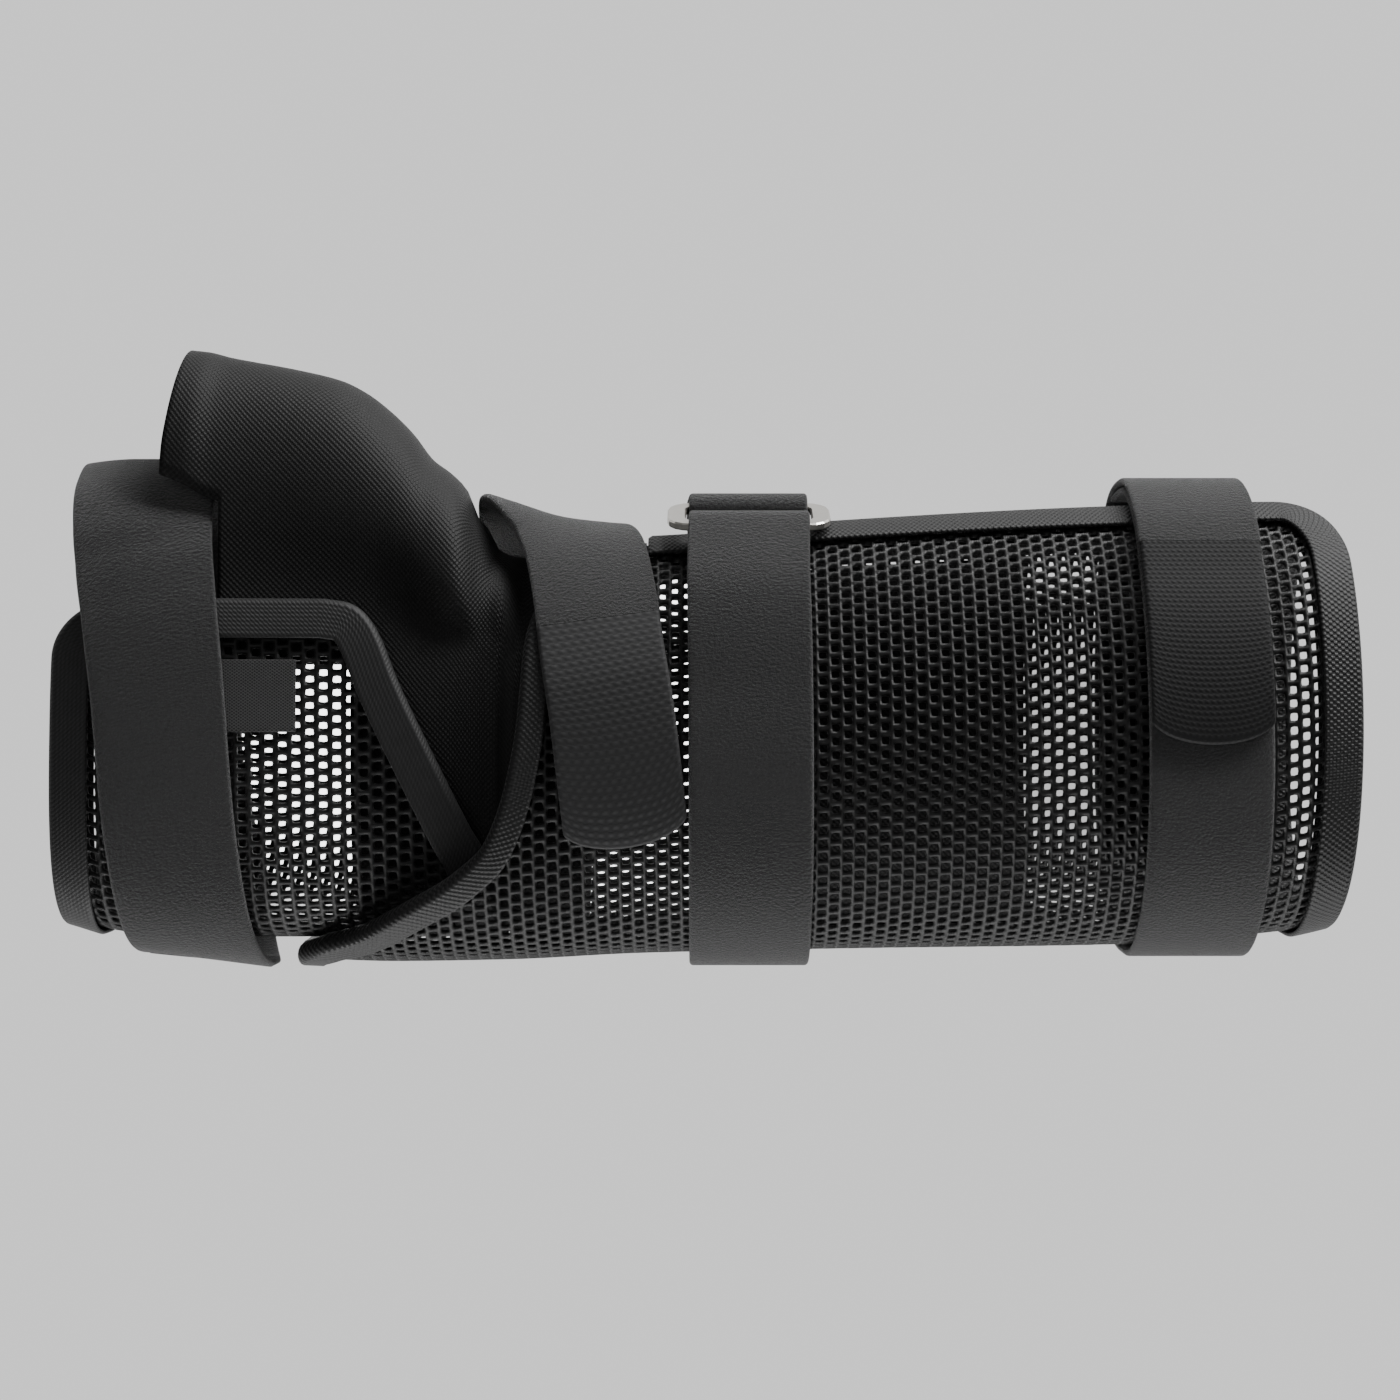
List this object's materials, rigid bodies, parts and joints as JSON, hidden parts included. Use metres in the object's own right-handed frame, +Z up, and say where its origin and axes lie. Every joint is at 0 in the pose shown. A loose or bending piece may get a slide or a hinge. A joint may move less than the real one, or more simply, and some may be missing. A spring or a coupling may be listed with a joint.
{
  "type": "wrist brace",
  "caption": "Black open mesh wrist brace lying on its side, with a hand sleeve, arched thumb guard, slit forearm sleeve, bound edges and closed hook straps.",
  "frame": {"origin": "bottom centre of the whole part's box, on the surface it lies on", "axes": "+X along the sleeve towards the forearm end, +Y towards the thumb side where the slit is, +Z up from the surface it lies on"},
  "size_m": [0.2656, 0.13, 0.0704],
  "materials": {
    "mesh_cloth": "black open mesh, matte",
    "fine_tape": "black fine ribbed tape, matte",
    "coarse_tape": "black coarse woven tape, matte",
    "loop_strap": "black brushed loop cloth, matte",
    "hook_fabric": "black dotted hook cloth, matte",
    "woven_sheet": "black woven sheet, slight sheen",
    "ring_metal": "satin nickel"
  },
  "bodies": {
    "root": {"hand_mesh_shell": "mesh_cloth", "hand_binding": "fine_tape", "hand_hook_patch": "hook_fabric", "hand_strap": "loop_strap", "thumb_guard": "woven_sheet", "forearm_mesh_shell": "mesh_cloth", "forearm_binding": "coarse_tape", "thumb_edge_binding": "coarse_tape", "wrist_strap": "loop_strap", "wrist_strap_hook_tab": "hook_fabric", "centre_strap_near": "loop_strap", "centre_strap_far": "loop_strap", "strap_ring": "ring_metal", "forearm_strap": "loop_strap", "forearm_strap_hook_tab": "hook_fabric", "stay_pocket": "woven_sheet"}
  },
  "joints": []
}
